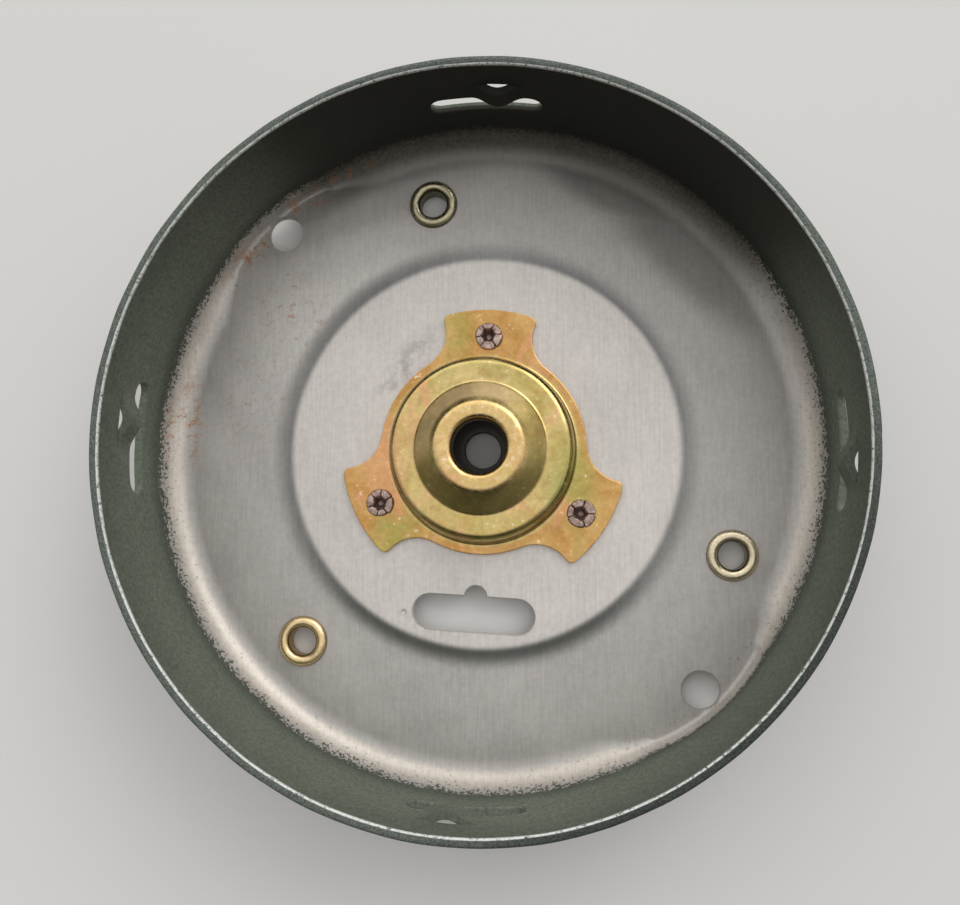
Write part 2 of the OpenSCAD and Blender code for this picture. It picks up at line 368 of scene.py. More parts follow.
def make_pan():
    inner, outer = pan_face(0), pan_face(SHEET)
    rim_rows, lip_rows = all_round(rim_line()), all_round(shaft_line())
    rows = np.concatenate([inner, rim_rows, outer[:, ::-1], lip_rows], 1)
    r, z = rows[..., 0], rows[..., 1]
    a = np.broadcast_to(turn[:, None], r.shape)
    r = r - bridge_bow(a, z)
    x, y = r * np.cos(a), r * np.sin(a)
    # Drawn sheet isn't quite flat: the floor and the wall carry a faint unevenness.
    flat = smooth(49, 54, r) * (1 - smooth(66, 70, r))
    z = z + 0.045 * flat * waves(x, y, 3)
    on_wall = smooth(71, 74, r) * smooth(6, 12, z)
    r = r - 0.05 * on_wall * (waves(a * MID_R, z, 5) + 1.4)
    tip = smooth(RIM_Z - 0.3, RIM_Z, z)
    z = z - 0.05 * tip * (1 + waves(a * MID_R, r * 3, 7, low=0.05, high=0.5))
    pts = np.stack([r * np.cos(a), r * np.sin(a), z], -1)
    ob = mesh("pan_sheet", *grid(pts))

    under = FLOOR_TOP - SHEET
    parts = []
    for t in RIVET_TURNS:
        parts.append(hole(*polar(t, RIVET_AT), 0, DISC_TOP, circle(RIVET_HOLE, 40), 0.1))
    for t in EYELET_TURNS:
        parts.append(hole(*polar(t, EYELET_AT), under, FLOOR_TOP, circle(EYELET_HOLE, 64), 0.1))
    for t in (SIDE_TURN, SIDE_TURN + 180):
        parts.append(hole(*polar(t, SIDE_R), under, FLOOR_TOP, circle(SIDE_HOLE, 80)))
    parts += [disc_slot(), punch_mark()]
    for i in range(4):
        parts += window(WINDOW_TURN + 90 * i)
    return cut(ob, parts)


def punch_mark():
    """A shallow dent beside the slot, as (height from the disc, radius) from its bottom up."""
    dent = [(-0.6, 0.25), (-0.42, 0.5), (-0.12, 0.62), (0.0, 0.72), (0.02, PUNCH_R), (1, PUNCH_R)]
    return prism([
        np.column_stack([circle(r, 32) + PUNCH_AT, np.full(32, DISC_TOP + h)]) for h, r in dent
    ])


def disc_slot():
    """The long slot in the centre disc, with the round notch in its inner edge."""
    half, w = (SLOT_L - SLOT_W) / 2, SLOT_W / 2
    notch_r, notch_x, fillet = 2.4, 0.3, 0.5
    reach = math.sqrt((notch_r + fillet) ** 2 - fillet**2)
    meet = math.degrees(math.asin(fillet / (notch_r + fillet)))
    line = np.concatenate([
        arc(half, 0, w, -90, 90, 18),
        level(half, notch_x + reach, w, 6),
        arc(notch_x + reach, w + fillet, fillet, 270, 180 + meet, 5),
        arc(notch_x, w, notch_r, meet, 180 - meet, 18)[1:-1],
        arc(notch_x - reach, w + fillet, fillet, -meet, -90, 5),
        level(notch_x - reach, -half, w, 6),
        arc(-half, 0, w, 90, 270, 18),
        level(-half, half, -w, 18),
    ])
    return hole(*SLOT_AT, 0, DISC_TOP, turned_by(line, SLOT_TURN), 0.28)


def window(bearing):
    """Cutters for one wall slot and for the sheared slit above its bridge."""
    line = stadium(WINDOW_L, WINDOW_H)
    levels = []
    for r, o in [(WALL_IN - 5, 1.35 * EASE)] + eased_levels(WALL_IN, PAN_R, 0.2)[1:]:
        ring = outset(line, o)
        a = math.radians(bearing) + ring[:, 0] / MID_R
        levels.append(np.column_stack([r * np.cos(a), r * np.sin(a), WINDOW_Z + ring[:, 1]]))
    slot = prism(levels)
    u = np.linspace(-BRIDGE_L / 2, BRIDGE_L / 2, 25) - BRIDGE_OFF
    a = math.radians(bearing) + u / MID_R
    past, short = 78, 70
    levels = []
    for z in (SLIT_LOW, SLIT_HIGH):
        ring = [(past * math.cos(t), past * math.sin(t), z) for t in a]
        ring += [(short * math.cos(t), short * math.sin(t), z) for t in a[::-1]]
        levels.append(ring)
    return [slot, prism(levels)]


# ------------------------------------------------------------------ hub


def dome_face(d):
    """The dome's (r, z) line from crown to flange, d below its outside."""
    return np.concatenate([
        arc(7.4, 11.4, 1.5 - d, 180, 90, 10 if d == 0 else 4),
        arc(8.6, 10.5, 2.4 - d, 90, 53.54, 8),
        arc(15.2, 10.1, 1.2 + d, 233.54, 270, 10),
        arc(18.4, 6.7, 2.2 - d, 90, 0, 12),
        arc(21.6, 4.0, 1.0 + d, 180, 270, 8),
    ])


def ear_outline():
    """The flange's outline: a round body, three ears, their hollow sides and eased corners."""
    body, ear, hollow, mid_r, ear_half = 23.4, 32.3, 8.5, 31.9, 20
    cos_h = (mid_r**2 + ear**2 - hollow**2) / (2 * mid_r * ear)
    h_turn = ear_half + math.degrees(math.acos(cos_h))
    cx, cy = polar(h_turn, mid_r)
    ex, ey = polar(ear_half, ear)
    end = math.degrees(math.atan2(ey - cy, ex - cx))
    half = np.concatenate([
        arc(0, 0, ear, 0, 18.9, 12),
        arc(cx, cy, hollow, end - 4.5, h_turn - 180, 20),
    ])
    other = (half * (1, -1))[::-1]
    line = []
    for t in RIVET_TURNS[::-1]:
        between = arc(0, 0, body, t + h_turn + 1.5, t + 120 - h_turn - 1.5, 22)
        line += [turned_by(other, t), turned_by(half, t)[1:], between]
    line = np.concatenate(line)
    for _ in range(2):  # evens out the joints between the arcs
        line = line * 0.5 + (np.roll(line, 1, 0) + np.roll(line, -1, 0)) * 0.25
    return line


def make_hub():
    line = ear_outline()
    n = len(line)
    a = np.unwrap(np.arctan2(line[:, 1], line[:, 0]))
    a = np.maximum.accumulate(a + np.arange(n) * 1e-5)
    before, after = np.roll(line, 1, 0), np.roll(line, -1, 0)
    way = after - before
    way /= np.linalg.norm(way, axis=1)[:, None]
    normal = np.stack([way[:, 1], -way[:, 0]], 1)

    def ring(r, z):
        return np.column_stack([r * np.cos(a), r * np.sin(a), np.full(n, z)])

    def edge(inset, z):
        return np.column_stack([line - inset * normal, np.full(n, z)])

    rows = [ring(HUB_BORE, 9.1), ring(HUB_BORE, 10.2)]
    rows += [ring(r, z) for r, z in dome_face(0)]
    last, near = rows[-1], edge(0.25, HUB_BASE)
    rows += [last + (near - last) * k for k in np.linspace(0, 1, 9)[1:]]
    rows += [edge(0.07, HUB_BASE - 0.07), edge(0, HUB_BASE - 0.25)]
    rows += [edge(0, HUB_BASE - HUB_T + 0.2), edge(0.15, HUB_BASE - HUB_T)]
    under = [ring(r, z) for r, z in dome_face(HUB_T)]
    rows += [rows[-1] + (under[-1] - rows[-1]) * k for k in np.linspace(0, 1, 6)[1:-1]]
    rows += under[::-1] + [ring(7.1, 10.2), ring(7.1, 9.05), ring(6.9, 8.9), ring(6.1, 8.9)]
    pts = np.stack(rows, 1)
    # The dome is a little uneven, as stamped sheet is.
    x, y, z = pts[..., 0], pts[..., 1], pts[..., 2]
    pts[..., 2] = z + 0.03 * smooth(3.2, 6, z) * waves(x, y, 11, low=0.03, high=0.2)
    ob = mesh("hub_shell", *grid(pts))
    low, line = HUB_BASE - HUB_T, circle(RIVET_HOLE, 40)
    return cut(ob, [hole(*polar(t, RIVET_AT), low, HUB_BASE, line, 0.1) for t in RIVET_TURNS])


# ------------------------------------------------------------------ rivets


def make_rivet(i):
    """A tubular rivet whose end is split and rolled out into uneven petals."""
    rng = np.random.default_rng(40 + i)
    count = (6, 5, 6)[i]
    splits = np.arange(count) + rng.uniform(-0.16, 0.16, count) + 0.5 + rng.uniform(0, 1)
    splits = splits * TAU / count
    lean = rng.uniform(0, TAU)
    heights = rng.uniform(-0.16, 0.12, count)
    reach = rng.uniform(-0.2, 0.1, count)
    base = HUB_BASE
    profile = np.concatenate([
        [(0.02, base - 1.35), (0.45, base - 1.33), (0.75, base - 1.15), (0.85, base - 0.8)],
        [(0.95, base - 0.3)],
        arc(1.75, base + 0.22, 0.64, 170, 90, 8),
        [(2.0, base + 0.87), (2.3, base + 0.84)],
        arc(2.7, base + 0.38, 0.48, 75, -40, 10),
        [(2.6, base + 0.03), (1.68, base), (1.68, base - 1.2), (1.68, 0.02), (1.75, 0.0)],
        [(3.4, 0.0)], arc(2.75, -0.35, 0.75, 10, -90, 8), [(1.5, -1.1), (0.02, -1.1)],
    ])

    def warp(a, r, z):
        top = smooth(base - 0.9, base + 0.2, z)
        off = np.stack([(a - s + math.pi) % TAU - math.pi for s in splits])
        near = np.abs(off).min(0)
        which = np.abs(off).argmin(0)
        # Which petal: between split k and split k + 1.
        side = np.take_along_axis(off, which[None], 0)[0] >= 0
        petal = np.where(side, which, (which - 1) % count)
        groove = np.exp(-((near * np.maximum(r, 0.8) / 0.12) ** 2))
        ring = smooth(0.8, 1.1, r) * top
        z = z - ring * groove * (0.42 + 0.2 * np.sin(petal * 2.3))
        z = z + ring * heights[petal] * (1 - groove)
        star = 0.28 * np.cos(np.clip(near * count / 2.4, 0, math.pi))
        r_in = r + top * (1 - smooth(1.2, 1.9, r)) * star * smooth(0.3, 0.7, r)
        r_out = r_in + smooth(2.1, 2.8, r) * top * (reach[petal] * (1 - groove) - 0.22 * groove)
        x = r_out * np.cos(a) + 0.16 * top * (1 - smooth(1.3, 2.2, r)) * math.cos(lean)
        y = r_out * np.sin(a) + 0.16 * top * (1 - smooth(1.3, 2.2, r)) * math.sin(lean)
        z = z + 0.05 * top * waves(x, y, 50 + i, low=0.2, high=0.9)
        # The rolled-out petals stay just clear of the ear.
        lowest = np.where(r > 1.75, base + 0.02, -9) * (top > 0.5) - 9 * (top <= 0.5)
        return np.arctan2(y, x), np.hypot(x, y), np.maximum(z, lowest)

    ob = turned(f"rivet_end_{i + 1}", profile, 180, warp)
    return settle(moved(ob, RIVET_TURNS[i], RIVET_AT), 50)


# ------------------------------------------------------------------ eyelets


def make_eyelet(i):
    """A barrel through the floor, a rolled collar inside and a smaller roll outside."""
    rng = np.random.default_rng(70 + i)
    r, t = 3.1, 0.45
    top_r, tail_r = 1.275, 0.95
    cx, cz = r + top_r, FLOOR_TOP
    tx, tz = r + tail_r, FLOOR_TOP - SHEET - 0.9
    profile = np.concatenate([
        arc(cx, cz, top_r, 180, 4, 28),
        [(cx + top_r - 0.12, cz + 0.02)],
        arc(cx, cz, top_r - t, 4, 180, 20),
        [(r + t, FLOOR_TOP - SHEET / 2)],
        arc(tx, tz, tail_r - t, 180, 355, 14),
        [(tx + tail_r - t, FLOOR_TOP - SHEET - 0.02), (tx + tail_r, FLOOR_TOP - SHEET - 0.02)],
        arc(tx, tz, tail_r, 355, 180, 18),
        [(r, tz + 0.4), (r, FLOOR_TOP - SHEET / 2)],
    ])
    dents = rng.uniform(0, TAU, 5)
    depth = rng.uniform(0.02, 0.07, 5)

    def warp(a, rr, z):
        up = smooth(FLOOR_TOP + 0.25, FLOOR_TOP + 1.2, z)
        low = np.zeros_like(a)
        for d, k in zip(dents, depth):
            off = (a - d + math.pi) % TAU - math.pi
            low += k * np.exp(-((off / 0.22) ** 2))
        return a, rr + 0.03 * up * np.sin(2 * a + dents[0]), z - up * low

    ob = turned(f"eyelet_roll_{i + 1}", profile, 128, warp)
    return settle(moved(ob, EYELET_TURNS[i], EYELET_AT), 50)


# ------------------------------------------------------------------ material tools


class Nodes:
    """Short forms for building a material's node tree."""

    def __init__(self, name):
        self.mat = bpy.data.materials.new(name)
        self.mat.use_nodes = True
        self.tree = self.mat.node_tree
        self.tree.nodes.clear()
        out = self.tree.nodes.new("ShaderNodeOutputMaterial")
        self.shader = self.tree.nodes.new("ShaderNodeBsdfPrincipled")
        self.link(self.shader.outputs[0], out.inputs[0])
        self.where = self.tree.nodes.new("ShaderNodeTexCoord").outputs["Object"]
        split = self.node("ShaderNodeSeparateXYZ", self.where)
        self.x, self.y, self.z = split.outputs

    def link(self, a, b):
        self.tree.links.new(a, b)

    def node(self, kind, *values, **settings):
        n = self.tree.nodes.new(kind)
        for k, v in settings.items():
            setattr(n, k, v)
        for socket, v in zip(n.inputs, values):
            self.set(socket, v)
        return n

    def set(self, socket, v):
        if v is None:
            return
        if isinstance(v, bpy.types.NodeSocket):
            self.link(v, socket)
        else:
            socket.default_value = v

    def math(self, op, a, b=None):
        return self.node("ShaderNodeMath", a, b, operation=op).outputs[0]

    def add(self, a, b):
        return self.math("ADD", a, b)

    def mul(self, a, b):
        return self.math("MULTIPLY", a, b)

    def scaled(self, *by):
        """The place, stretched by three factors."""
        n = self.node("ShaderNodeVectorMath", self.where, by, operation="MULTIPLY")
        return n.outputs[0]

    def most(self, a, *others):
        """The greatest of several values."""
        for v in others:
            a = self.math("MAXIMUM", a, v)
        return a

    def toward(self, x, y, r):
        """1 on the side of the axis that (x, y) points to, -1 on the far side."""
        return self.math("DIVIDE", self.add(self.mul(self.y, y), self.mul(self.x, x)), r)

    def noise(self, scale, detail=3.0, rough=0.5, vec=None, warp=0.0):
        n = self.tree.nodes.new("ShaderNodeTexNoise")
        self.link(vec or self.where, n.inputs["Vector"])
        n.inputs["Scale"].default_value = scale
        n.inputs["Detail"].default_value = detail
        n.inputs["Roughness"].default_value = rough
        n.inputs["Distortion"].default_value = warp
        return n.outputs["Fac"]

    def ramp(self, v, a, b, lo=0.0, hi=1.0):
        """lo below a, hi above b, smooth between."""
        n = self.tree.nodes.new("ShaderNodeMapRange")
        n.interpolation_type = "SMOOTHSTEP"
        self.set(n.inputs["Value"], v)
        for key, k in (("From Min", a), ("From Max", b), ("To Min", lo), ("To Max", hi)):
            n.inputs[key].default_value = k
        return n.outputs["Result"]

    def spot(self, x, y, rx, ry, soft=0.5, turn=0.0):
        """1 inside an ellipse in X and Y (mm), falling to 0 round it."""
        c, s = math.cos(math.radians(turn)), math.sin(math.radians(turn))
        dx, dy = self.add(self.x, -x * MM), self.add(self.y, -y * MM)
        u = self.mul(self.add(self.mul(dx, c), self.mul(dy, s)), 1 / (rx * MM))
        v = self.mul(self.add(self.mul(dy, c), self.mul(dx, -s)), 1 / (ry * MM))
        d = self.math("SQRT", self.add(self.mul(u, u), self.mul(v, v)))
        return self.ramp(d, 1 - soft, 1 + soft, 1, 0)

    def radius(self, x=0.0, y=0.0):
        dx, dy = self.add(self.x, -x * MM), self.add(self.y, -y * MM)
        return self.math("SQRT", self.add(self.mul(dx, dx), self.mul(dy, dy)))

    def mix(self, f, a, b):
        n = self.tree.nodes.new("ShaderNodeMix")
        n.data_type = "RGBA"
        n.clamp_factor = True
        self.set(n.inputs[0], f)
        for socket, v in ((n.inputs[6], a), (n.inputs[7], b)):
            self.set(socket, (*v, 1.0) if isinstance(v, tuple) and len(v) == 3 else v)
        return n.outputs[2]

    def tone(self, color, factor):
        """color times a grey factor."""
        n = self.tree.nodes.new("ShaderNodeVectorMath")
        n.operation = "SCALE"
        self.set(n.inputs[0], color)
        self.set(n.inputs["Scale"], factor)
        return n.outputs[0]

    def bump(self, height, strength, distance):
        n = self.tree.nodes.new("ShaderNodeBump")
        n.inputs["Strength"].default_value = strength
        n.inputs["Distance"].default_value = distance
        self.link(height, n.inputs["Height"])
        return n.outputs[0]

    def out(self, **sockets):
        for key, v in sockets.items():
            name = key.replace("_", " ")
            color = isinstance(v, tuple) and len(v) == 3
            self.set(self.shader.inputs[name], (*v, 1.0) if color else v)
        return self.mat


# ------------------------------------------------------------------ materials


def pan_steel():
    m = Nodes("pan_steel")
    r = m.radius()
    on_disc = m.ramp(r, 0.0432, 0.0452, 1, 0)
    rim = m.ramp(m.z, 0.0319, 0.0325)
    streak = m.noise(1.0, 4, 0.65, m.scaled(2200, 110, 400))
    fine = m.noise(900, 3, 0.6)
    cloud = m.noise(38, 4, 0.6)
    patch = m.noise(120, 5, 0.65)
    grain = m.noise(2400, 2, 0.7)
    grit = m.noise(1300, 4, 0.75)
    # The disc is painted paler than the floor of the same sheet: painted light.
    color = m.mix(on_disc, (0.49, 0.47, 0.45), (0.69, 0.655, 0.625))
    # The step round the disc is painted darker, most towards -Y, as painted shade.
    ring = m.mul(m.ramp(r, 0.0436, 0.0450), m.ramp(r, 0.0455, 0.0492, 1, 0))
    south_shade = m.ramp(m.math("DIVIDE", m.y, r), -0.35, -0.95)
    step_shade_color = m.mix(south_shade, (0.30, 0.31, 0.33), (0.13, 0.14, 0.13))
    color = m.mix(m.mul(ring, m.ramp(south_shade, 0, 1, 0.38, 0.85)), color, step_shade_color)
    # The painted shade on the dark side is only inside the pan, which ends at the middle of the
    # sheet.
    facing = m.toward(*SHADE_SIDE, r)
    inner = m.ramp(r, 0.07535, 0.0749, 0.0, 1.0)
    north_shade = m.mul(m.ramp(facing, 0.45, 0.92), inner)
    # A painted highlight brightens the corner of floor and wall, but not on the dark side.
    low = m.mul(m.ramp(m.z, 0.0048, 0.0028), m.ramp(r, 0.066, 0.068))
    corner = m.mul(m.ramp(m.z, 0.0006, 0.0015), low)
    corner = m.mul(corner, m.ramp(facing, 0.15, 0.70, 0.7, 0.0))
    color = m.mix(corner, color, (0.72, 0.66, 0.59))
    # Painted shade: dark patches on the upper right of the floor.
    dark_and_shade = m.mul(m.spot(45, 44, 22, 5.5, 0.6, -45), 0.85)
    dark_and_shade = m.most(m.spot(31, 59, 16, 4.5, 0.55, -28), dark_and_shade)
    color = m.mix(m.mul(dark_and_shade, 0.62), color, (0.13, 0.13, 0.11))
    # A painted pool of light makes the upper left of the floor pale.
    pale_light = m.mul(m.spot(-38, 37, 22, 17, 0.8, 45), m.ramp(r, 0.0470, 0.0500))
    color = m.mix(m.mul(pale_light, 0.5), color, (0.80, 0.77, 0.73))
    # Black oxide on the wall. It breaks up into grit where the corner turns.
    uneven = m.add(patch, -0.5)
    climb = m.add(m.z, m.add(m.mul(m.add(grit, -0.5), 0.0075), m.mul(uneven, 0.003)))
    dense = m.ramp(m.add(m.z, m.mul(uneven, 0.004)), 0.0022, 0.0088, 0.0, 1.25)
    skin = m.ramp(m.add(dense, m.ramp(grit, 0.34, 0.66, -1.0, 0.0)), -0.10, 0.10)
    by_wall = m.ramp(r, 0.0690, 0.0715)
    skin = m.mul(skin, by_wall)
    # The oxide's tone: painted near black on the dark side as painted shade, and darker near the
    # rim and near the wall's foot.
    dark = m.mix(north_shade, (0.140, 0.162, 0.128), (0.014, 0.018, 0.012))
    dark = m.tone(dark, m.ramp(m.z, 0.018, 0.033, 1.0, 0.72))
    dark = m.tone(dark, m.ramp(m.z, 0.004, 0.013, 0.5, 1.0))
    color = m.mix(m.mul(skin, 0.99), color, m.tone(dark, m.ramp(grit, 0.3, 0.7, 0.75, 1.25)))
    # On the dark side the near-black oxide reaches lower onto the corner, deepened as painted
    # shade.
    low_oxide_and_shade = m.mul(m.mul(m.ramp(climb, 0.0010, 0.0046), by_wall), m.ramp(north_shade, 0.3, 0.9))
    color = m.mix(m.mul(low_oxide_and_shade, 0.85), color, (0.04, 0.04, 0.034))
    # Painted shadow at the wall's foot on the dark side.
    shadow = m.mul(m.ramp(r, 0.0655, 0.0712), m.ramp(north_shade, 0.2, 0.9))
    shadow = m.mul(shadow, m.ramp(m.z, 0.0030, 0.0065, 1.0, 0.0))
    color = m.mix(m.mul(shadow, 0.8), color, (0.13, 0.125, 0.105))
    shade = m.ramp(cloud, 0.25, 0.75, -0.08, 0.08)
    shade = m.add(shade, m.ramp(streak, 0.3, 0.7, -0.06, 0.06))
    shade = m.add(shade, m.ramp(fine, 0.3, 0.7, -0.05, 0.05))
    color = m.tone(color, m.add(shade, 1.0))
    rim_color = m.mix(m.ramp(grain, 0.4, 0.62), (0.085, 0.10, 0.09), (0.17, 0.19, 0.17))
    # Painted shade darkens the rim on the dark side; the rim is also darker towards +X -Y.
    rim_color = m.tone(rim_color, m.ramp(north_shade, 0.2, 1.0, 1.0, 0.8))
    rim_color = m.tone(rim_color, m.ramp(m.toward(1, -1, r), 0.8, 1.3, 1.0, 0.45))
    worn = m.mul(m.ramp(r, 0.07448, 0.07428), m.ramp(grit, 0.34, 0.50))
    color = m.mix(rim, color, m.mix(worn, rim_color, (0.72, 0.74, 0.72)))
    # Painted shade on the disc inside the hub, seen through its bore.
    color = m.mix(m.ramp(r, 0.0165, 0.0195, 1, 0), color, (0.05, 0.045, 0.04))
    # Rust near the first plain hole, on the left corner and in small specks.
    specks = m.ramp(m.noise(700, 3, 0.7), 0.58, 0.66)
    blotch = m.ramp(m.noise(330, 5, 0.75), 0.50, 0.62)
    zones = m.most(
        m.spot(-50.5, 52.5, 13, 1.6, 0.6, 44),
        m.spot(-37.5, 62.5, 10, 1.8, 0.6, 27),
        m.mul(m.spot(-70, 7, 3.6, 9, 0.6, -4), 0.9),
    )
    light = m.most(m.spot(-47, 33, 9, 12, 0.7, 30), m.spot(-54, 14, 9, 12, 0.8))
    zones = m.mul(zones, m.ramp(m.z, 0.0034, 0.0058, 1, 0))
    dot = m.spot(-10.4, 16.0, 0.5, 0.5, 0.5)
    rust = m.most(m.mul(zones, blotch), m.mul(light, m.mul(specks, 0.5)), dot)
    color = m.mix(m.mul(rust, 0.9), color, m.mix(patch, (0.36, 0.13, 0.035), (0.58, 0.27, 0.09)))
    # A dark smear on the disc.
    smear = m.ramp(m.noise(160, 4, 0.7), 0.42, 0.62)
    smear = m.mul(m.spot(-17.5, 20, 3.0, 9.5, 0.6, -38), smear)
    color = m.mix(m.mul(smear, 0.5), color, (0.27, 0.26, 0.25))
    rough = m.add(m.ramp(streak, 0.3, 0.7, 0.41, 0.48), m.ramp(cloud, 0.3, 0.7, -0.03, 0.04))
    rough = m.add(rough, m.add(m.mul(skin, 0.28), m.mul(rust, 0.3)))
    height = m.add(m.mul(streak, 0.4), m.add(m.mul(fine, 0.35), m.mul(rust, 0.8)))
    height = m.add(height, m.add(m.mul(m.mul(grain, rim), 1.5), m.mul(m.mul(grit, skin), 0.8)))
    normal = m.bump(height, 0.25, 0.00006)
    # Bare sheet is partly metal, rust hardly, and the oxide skin not at all.
    metal = m.mul(m.ramp(rust, 0, 1, 0.5, 0.15), m.ramp(skin, 0, 1, 1.0, 0.0))
    return m.out(
        Base_Color=color, Metallic=metal, Roughness=rough, Normal=normal, Specular_IOR_Level=0.15
    )


def zinc_gold():
    m = Nodes("zinc_gold")
    r = m.radius()
    cloud = m.noise(110, 4, 0.65, warp=0.6)
    film = m.noise(70, 3, 0.6, warp=1.4)
    fine = m.noise(800, 4, 0.7)
    dome = m.ramp(r, 0.0222, 0.0212)
    flat = m.mix(m.ramp(cloud, 0.3, 0.7), (0.56, 0.29, 0.085), (0.70, 0.44, 0.17))
    top = m.mix(m.ramp(cloud, 0.3, 0.7), (0.60, 0.45, 0.155), (0.76, 0.59, 0.26))
    color = m.mix(dome, flat, top)
    # The plating's film runs from green to pink, in places and in its own cloud.
    green = m.most(m.spot(19, -11, 4, 6, 0.7, 30), m.spot(-20, -17, 4, 4, 0.7))
    green = m.most(m.mul(green, m.ramp(film, 0.35, 0.6)), m.mul(m.ramp(film, 0.56, 0.68), 0.4))
    patches = m.most(
        m.spot(20.5, -5, 3.5, 8, 0.8, 20),
        m.spot(-6, 27, 3.5, 5, 0.8),
        m.spot(-20, -20, 5, 3.5, 0.8, 30),
    )
    color = m.mix(m.mul(green, 0.6), color, (0.36, 0.42, 0.13))
    color = m.mix(m.mul(patches, 0.55), color, (0.42, 0.42, 0.11))
    grime = m.ramp(m.noise(260, 5, 0.7, warp=0.5), 0.50, 0.66)
    color = m.mix(m.mul(grime, 0.35), color, (0.40, 0.23, 0.08))
    pink = m.most(m.ramp(m.spot(-22, -2, 5, 9, 0.8), 0, 1), m.ramp(film, 0.46, 0.34))
    color = m.mix(m.mul(pink, 0.4), color, (0.88, 0.42, 0.26))
    # The slopes keep an olive film, painted darker towards -Y as painted shade, with a painted
    # highlight towards +Y and -X. The crown's wear shows pale zinc.
    slope = m.mul(m.ramp(m.z, 0.0090, 0.0095), m.ramp(m.z, 0.0122, 0.0114))
    slope = m.most(slope, m.mul(m.ramp(m.z, 0.0078, 0.0066), m.ramp(m.z, 0.0032, 0.0040)))
    color = m.mix(m.mul(slope, m.ramp(m.y, -0.008, 0.004, 0.6, 0.05)), color, (0.33, 0.28, 0.09))
    slope_highlight = m.mul(slope, m.ramp(m.add(m.y, m.mul(m.x, -0.6)), 0.003, 0.010, 0.0, 0.7))
    color = m.mix(slope_highlight, color, (0.97, 0.74, 0.42))
    high = m.ramp(m.z, 0.0121, 0.0128)
    crown = m.mul(high, m.ramp(fine, 0.5, 0.62))
    color = m.mix(m.mul(crown, 0.35), color, (0.90, 0.80, 0.58))
    color = m.mix(m.mul(high, 0.35), color, (0.95, 0.62, 0.28))
    color = m.mix(m.mul(m.ramp(fine, 0.64, 0.69), 0.6), color, (0.95, 0.9, 0.75))
    pit = m.spot(-4.6, 20.7, 0.45, 0.45, 0.5)
    color = m.mix(m.mul(pit, 0.8), color, (0.35, 0.13, 0.07))
    color = m.tone(color, m.ramp(fine, 0.3, 0.7, 0.9, 1.08))
    # Painted shade inside the bore, below the crown.
    bore_shade = m.mul(m.ramp(r, 0.0064, 0.0060), m.ramp(m.z, 0.0121, 0.0112))
    color = m.mix(m.mul(bore_shade, 0.8), color, (0.14, 0.10, 0.05))
    rough = m.add(m.mul(crown, 0.1), m.mul(slope, 0.16))
    rough = m.add(m.ramp(cloud, 0.3, 0.7, 0.20, 0.30), rough)
    normal = m.bump(m.add(m.mul(fine, 0.4), m.mul(cloud, 0.9)), 0.25, 0.00007)
    return m.out(Base_Color=color, Metallic=1.0, Roughness=rough, Normal=normal)


def rivet_steel():
    m = Nodes("rivet_steel")
    patch = m.noise(900, 4, 0.7)
    color = m.mix(m.ramp(patch, 0.35, 0.65), (0.30, 0.20, 0.17), (0.62, 0.48, 0.43))
    bright = m.ramp(m.noise(1100, 3, 0.6, m.scaled(1, 1.6, 1)), 0.66, 0.72)
    color = m.mix(m.mul(bright, 0.8), color, (0.8, 0.74, 0.7))
    # Painted shade on the rivet's low parts: its hollow centre, the foot of its petals and its
    # shank.
    recess_shade = m.ramp(m.z, 0.0028, 0.0036, 1, 0)
    color = m.mix(m.mul(recess_shade, 0.55), color, (0.10, 0.06, 0.045))
    normal = m.bump(patch, 0.5, 0.0001)
    rough = m.ramp(patch, 0.3, 0.7, 0.3, 0.5)
    return m.out(Base_Color=color, Metallic=0.85, Roughness=rough, Normal=normal)


def eyelet_brass(i):
    """Each eyelet's brass has its own bright tone, and a dark tone for tarnish and painted shade.
    """
    m = Nodes(f"eyelet_brass_{i + 1}")
    r = m.radius(*polar(EYELET_TURNS[i], EYELET_AT))
    patch = m.noise(420, 4, 0.65)
    bright, dark_and_shade = (
        ((0.50, 0.45, 0.30), (0.16, 0.14, 0.09)),
        ((0.76, 0.66, 0.47), (0.27, 0.22, 0.15)),
        ((0.86, 0.67, 0.38), (0.40, 0.28, 0.13)),
    )[i]
    # The lower collar and the inside of the barrel take the dark tone: tarnish, and painted shade
    # in the barrel.
    tarnish_and_shade = m.most(m.ramp(m.z, 0.0014, 0.0008), m.ramp(r, 0.0037, 0.0033))
    tarnish_and_shade = m.add(tarnish_and_shade, m.mul(m.add(patch, -0.5), 0.9))
    color = m.mix(m.ramp(tarnish_and_shade, 0.2, 0.8), bright, dark_and_shade)
    color = m.tone(color, m.ramp(m.noise(1500, 2, 0.6), 0.3, 0.7, 0.9, 1.1))
    normal = m.bump(patch, 0.25, 0.0001)
    rough = m.ramp(patch, 0.3, 0.7, 0.22, 0.4)
    return m.out(Base_Color=color, Metallic=1.0, Roughness=rough, Normal=normal)


def paint(ob, mat):
    ob.data.materials.clear()
    ob.data.materials.append(mat)


def place(ob, mat, node):
    """Puts a finished piece in the place of its CAD node."""
    paint(ob, mat)
    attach(ob, "root")
    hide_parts(node)


place(make_pan(), pan_steel(), "pan")
place(make_hub(), zinc_gold(), "hub_flange")
steel = rivet_steel()
for i in range(3):
    place(make_rivet(i), steel, f"rivet_{i + 1}")
    place(make_eyelet(i), eyelet_brass(i), f"eyelet_{i + 1}")

# ------------------------------------------------------------------ stage, light, camera

low_z, far = cad_box[0].z / MM, 1500
corners = [(-far, -far, low_z), (far, -far, low_z), (far, far, low_z), (-far, far, low_z)]
table = mesh("table_top", corners, [(0, 1, 2, 3)])
paint(table, Nodes("table_paint").out(Base_Color=(0.74, 0.74, 0.73), Roughness=0.9))

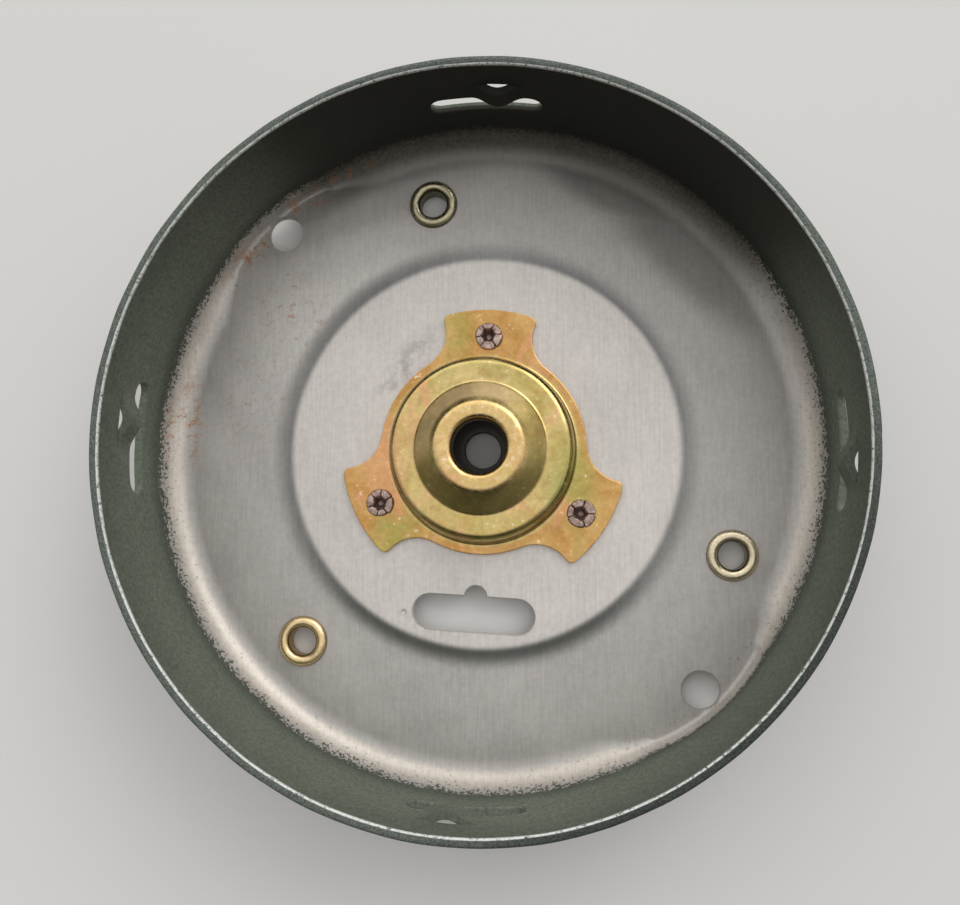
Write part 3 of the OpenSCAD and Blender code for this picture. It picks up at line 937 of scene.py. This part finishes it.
# Levels of the tent of light: overhead, all round, more towards +Y and +X, and its least.
SKY_TOP, SKY_SIDE, SKY_Y, SKY_X, SKY_LOW = 0.88, 0.72, 0.88, 0.12, 0.03
SKY_OVERHEAD = (0.72, 0.97)
# A brighter window in it: its level, its direction, and how near to that it begins and is full.
SKY_WINDOW, WINDOW_WAY, WINDOW_NEAR = 2.2, (0.50, 0.62, 0.60), (0.93, 0.985)
SKY_COLOR = (1.0, 0.985, 0.965, 1)

# The camera stands a little off the axis, in metres. Its focal length is in pixels of the
# image's width, and its tilts are in radians.
SENSOR_MM, FOCAL_PX, IMAGE_PX = 36, 854.84, 960
CAMERA_AT, CAMERA_TILT_X, CAMERA_TILT_Y = (0.017556, -0.018795, 0.193563), 0.0951, 0.0948

scene = bpy.context.scene
world = bpy.data.worlds.new("studio")
world.use_nodes = True
scene.world = world


def studio_sky():
    """A soft tent of light: bright round three sides, even overhead, and dim towards -Y."""
    tree = world.node_tree

    def node(kind, **settings):
        n = tree.nodes.new(kind)
        for k, v in settings.items():
            setattr(n, k, v)
        return n

    def link_or_set(socket, v):
        if isinstance(v, bpy.types.NodeSocket):
            tree.links.new(v, socket)
        else:
            socket.default_value = v

    def calc(op, a, b=0.0):
        n = node("ShaderNodeMath", operation=op)
        link_or_set(n.inputs[0], a)
        link_or_set(n.inputs[1], b)
        return n.outputs[0]

    def ramp(v, a, b, lo, hi):
        n = node("ShaderNodeMapRange", interpolation_type="SMOOTHSTEP")
        keys = ("Value", "From Min", "From Max", "To Min", "To Max")
        for key, k in zip(keys, (v, a, b, lo, hi)):
            link_or_set(n.inputs[key], k)
        return n.outputs["Result"]

    split = node("ShaderNodeSeparateXYZ")
    tree.links.new(node("ShaderNodeTexCoord").outputs["Generated"], split.inputs[0])
    x, y, z = split.outputs
    side = calc("ADD", calc("MULTIPLY", y, SKY_Y), calc("MULTIPLY", x, SKY_X))
    side = calc("MAXIMUM", calc("ADD", side, SKY_SIDE), SKY_LOW)
    over = ramp(z, *SKY_OVERHEAD, 0, 1)
    side = calc("MULTIPLY", side, calc("SUBTRACT", 1.0, over))
    glow = calc("ADD", side, calc("MULTIPLY", over, SKY_TOP))
    way_x, way_y, way_z = WINDOW_WAY
    near = calc("ADD", calc("MULTIPLY", x, way_x), calc("MULTIPLY", y, way_y))
    near = calc("ADD", near, calc("MULTIPLY", z, way_z))
    glow = calc("ADD", glow, ramp(near, *WINDOW_NEAR, 0, SKY_WINDOW))
    background = tree.nodes["Background"]
    tree.links.new(glow, background.inputs["Strength"])
    background.inputs["Color"].default_value = SKY_COLOR


studio_sky()

cam = bpy.data.cameras.new("camera")
cam.sensor_width = SENSOR_MM
cam.lens = SENSOR_MM * FOCAL_PX / IMAGE_PX
camera = bpy.data.objects.new("camera", cam)
tilt = Matrix.Rotation(CAMERA_TILT_Y, 4, "Y") @ Matrix.Rotation(CAMERA_TILT_X, 4, "X")
camera.matrix_world = Matrix.Translation(CAMERA_AT) @ tilt
scene.collection.objects.link(camera)
scene.camera = camera
scene.view_settings.view_transform = "Standard"
